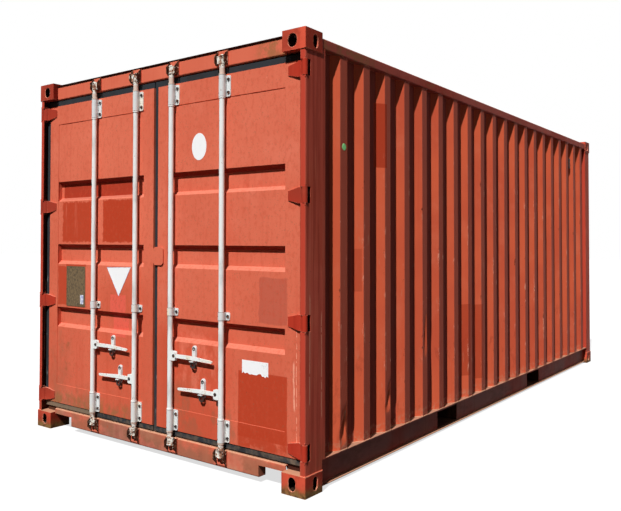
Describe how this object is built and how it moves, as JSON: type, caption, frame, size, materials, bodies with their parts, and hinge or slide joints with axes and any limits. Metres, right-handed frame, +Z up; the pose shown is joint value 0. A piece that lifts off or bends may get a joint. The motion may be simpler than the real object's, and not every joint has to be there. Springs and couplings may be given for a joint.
{
  "type": "twenty foot dry shipping container",
  "caption": "Steel freight container with corrugated walls, hinged double doors at one end, upright lock rods with handles, fork lift pockets and corner castings.",
  "frame": {"origin": "centre of the footprint at the underside of the bottom corner castings", "axes": "+X along the length from the door end to the closed end, +Y towards the left side, +Z up"},
  "size_m": [6.058, 2.438, 2.591],
  "materials": {
    "casting_paint": "worn matt paint, rust at the edges",
    "frame_paint": "weathered matt paint",
    "door_paint": "weathered satin paint with patches",
    "wall_paint": "weathered satin paint with patches",
    "roof_paint": "weathered matt paint",
    "underframe_paint": "dark dirty paint",
    "pale_paint": "chipped off-white paint",
    "keeper_paint": "dark paint and rust",
    "bare_steel": "dark bare steel",
    "gasket_rubber": "dusty rubber",
    "vent_plastic": "dull plastic",
    "floor_ply": "worn plywood"
  },
  "bodies": {
    "container": {"bottom_corner_castings": "casting_paint", "door_end_roof_plate": "roof_paint", "door_header": "frame_paint", "door_sill": "frame_paint", "floor_boards": "floor_ply", "floor_cross_members": "underframe_paint", "fork_pockets": "underframe_paint", "left_bottom_rail": "frame_paint", "left_door_post": "frame_paint", "left_hinge_pins": "bare_steel", "left_rear_post": "frame_paint", "left_side_wall": "wall_paint", "left_top_rail": "frame_paint", "lower_cam_keepers": "keeper_paint", "rear_bottom_rail": "frame_paint", "rear_end_roof_plate": "roof_paint", "rear_end_wall": "wall_paint", "rear_top_rail": "frame_paint", "right_bottom_rail": "frame_paint", "right_door_post": "frame_paint", "right_hinge_pins": "bare_steel", "right_rear_post": "frame_paint", "right_side_wall": "wall_paint", "right_top_rail": "frame_paint", "roof_panel": "roof_paint", "side_vents": "vent_plastic", "top_corner_castings": "casting_paint", "upper_cam_keepers": "keeper_paint"},
    "right_door": {"right_door_frame": "door_paint", "right_door_panel": "door_paint", "right_door_gasket": "gasket_rubber", "right_door_hinges": "frame_paint", "right_rod_brackets": "pale_paint", "right_handle_retainers": "pale_paint", "right_seal_rings": "bare_steel", "door_overlap_tab": "door_paint"},
    "left_door": {"left_door_frame": "door_paint", "left_door_panel": "door_paint", "left_door_gasket": "gasket_rubber", "left_door_hinges": "frame_paint", "left_rod_brackets": "pale_paint", "left_handle_retainers": "pale_paint", "left_seal_rings": "bare_steel"},
    "right_inner_rod": {"right_inner_lock_rod": "pale_paint"},
    "right_inner_grip": {"right_inner_handle": "pale_paint"},
    "right_outer_rod": {"right_outer_lock_rod": "pale_paint"},
    "right_outer_grip": {"right_outer_handle": "pale_paint"},
    "left_outer_rod": {"left_outer_lock_rod": "pale_paint"},
    "left_outer_grip": {"left_outer_handle": "pale_paint"},
    "left_inner_rod": {"left_inner_lock_rod": "pale_paint"},
    "left_inner_grip": {"left_inner_handle": "pale_paint"}
  },
  "joints": [
    {"name": "right_door_hinge", "type": "hinge", "parent": "container", "child": "right_door", "pos_m": [-3.011, -1.203, 1.3065], "axis": [0, 0, 1], "range_deg": [0, 266]},
    {"name": "left_door_hinge", "type": "hinge", "parent": "container", "child": "left_door", "pos_m": [-3.011, 1.203, 1.3065], "axis": [0, 0, -1], "range_deg": [0, 266]},
    {"name": "right_inner_rod_turn", "type": "hinge", "parent": "right_door", "child": "right_inner_rod", "pos_m": [-3.008, -0.168, 1.3165], "axis": [0, 0, 1], "range_deg": [-100, 0]},
    {"name": "right_inner_handle_lift", "type": "hinge", "parent": "right_inner_rod", "child": "right_inner_grip", "pos_m": [-3.008, -0.207, 0.672], "axis": [-1, 0, 0], "range_deg": [0, 25]},
    {"name": "right_outer_rod_turn", "type": "hinge", "parent": "right_door", "child": "right_outer_rod", "pos_m": [-3.008, -0.598, 1.3165], "axis": [0, 0, -1], "range_deg": [-100, 0]},
    {"name": "right_outer_handle_lift", "type": "hinge", "parent": "right_outer_rod", "child": "right_outer_grip", "pos_m": [-3.008, -0.559, 0.475], "axis": [1, 0, 0], "range_deg": [0, 25]},
    {"name": "left_outer_rod_turn", "type": "hinge", "parent": "left_door", "child": "left_outer_rod", "pos_m": [-3.008, 0.598, 1.3165], "axis": [0, 0, 1], "range_deg": [-100, 0]},
    {"name": "left_outer_handle_lift", "type": "hinge", "parent": "left_outer_rod", "child": "left_outer_grip", "pos_m": [-3.008, 0.559, 0.672], "axis": [-1, 0, 0], "range_deg": [0, 25]},
    {"name": "left_inner_rod_turn", "type": "hinge", "parent": "left_door", "child": "left_inner_rod", "pos_m": [-3.008, 0.168, 1.3165], "axis": [0, 0, -1], "range_deg": [-100, 0]},
    {"name": "left_inner_handle_lift", "type": "hinge", "parent": "left_inner_rod", "child": "left_inner_grip", "pos_m": [-3.008, 0.207, 0.475], "axis": [1, 0, 0], "range_deg": [0, 25]}
  ]
}
